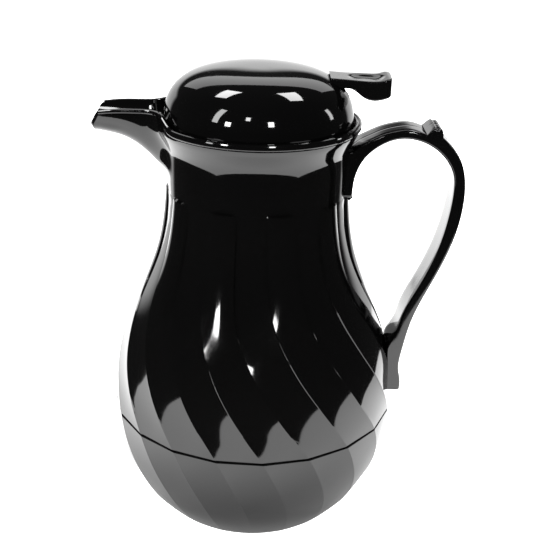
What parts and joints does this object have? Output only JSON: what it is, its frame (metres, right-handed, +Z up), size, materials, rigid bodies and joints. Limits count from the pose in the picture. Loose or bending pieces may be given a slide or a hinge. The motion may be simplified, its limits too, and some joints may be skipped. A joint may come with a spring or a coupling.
{
  "type": "insulated pouring jug",
  "caption": "Tall insulated pouring jug with a swirl-fluted round body, open beak spout, strap handle and domed lid with a thumb lever that opens a sprung valve.",
  "frame": {"origin": "centre of the flat face that the jug stands on, on the axis of the round body", "axes": "+Z up the body's axis, -X towards the spout, +X towards the handle, +Y across"},
  "size_m": [0.199, 0.1586, 0.2646],
  "materials": {
    "shell_black": "high gloss",
    "lid_black": "high gloss",
    "lever_black": "gloss",
    "handle_black": "gloss",
    "plug_black": "satin moulded",
    "liner_steel": "brushed",
    "foam": "rigid polyurethane foam",
    "seal_silicone": "silicone",
    "seal_black": "rubber",
    "pad_rubber": "moulded rubber",
    "screw_steel": "plated steel",
    "spring_steel": "drawn stainless wire",
    "bush_white": "natural acetal"
  },
  "bodies": {
    "server": {"upper_shell": "shell_black", "lower_bowl": "shell_black", "seam_gasket": "seal_black", "inner_liner": "liner_steel", "liner_neck": "liner_steel", "foam_insulation": "foam", "liner_gasket": "seal_silicone", "neck_collar": "plug_black", "base_pad": "pad_rubber", "fill_plug": "plug_black", "handle": "handle_black", "handle_foot_bracket": "handle_black", "handle_tang_clip": "handle_black", "handle_screws": "screw_steel"},
    "lid_seal": {"lid_gasket": "seal_silicone"},
    "lid": {"lid_dome": "lid_black", "lid_plug": "plug_black", "lid_deck": "plug_black", "dome_screws": "screw_steel", "lever_pin": "screw_steel", "stem_bush": "bush_white", "valve_spring": "spring_steel"},
    "lever": {"thumb_lever": "lever_black"},
    "valve": {"valve_stem": "spring_steel", "valve_disc": "plug_black", "valve_seal": "seal_silicone", "spring_cup": "screw_steel", "stem_nut": "screw_steel"}
  },
  "joints": [
    {"name": "lid_lift", "type": "slide", "parent": "server", "child": "lid_seal", "axis": [0, 0, 1], "range_m": [0, 0.06]},
    {"name": "lid_turn", "type": "hinge", "parent": "lid_seal", "child": "lid", "pos_m": [0, 0, 0.236], "axis": [0, 0, 1], "range_deg": [0, 60]},
    {"name": "lever_press", "type": "hinge", "parent": "lid", "child": "lever", "pos_m": [0.03, 0, 0.25], "axis": [0, 1, 0], "range_deg": [0, 12], "stiffness_Nm_per_rad": 0.5, "springref_deg": -11.46},
    {"name": "valve_lift", "type": "slide", "parent": "lid", "child": "valve", "axis": [0, 0, 1], "range_m": [0, 0.0065], "deforming": ["valve_spring"]}
  ],
  "couplings": [
    {"joint": "valve_lift", "follows": "lever_press", "m_per_rad": 0.03}
  ]
}
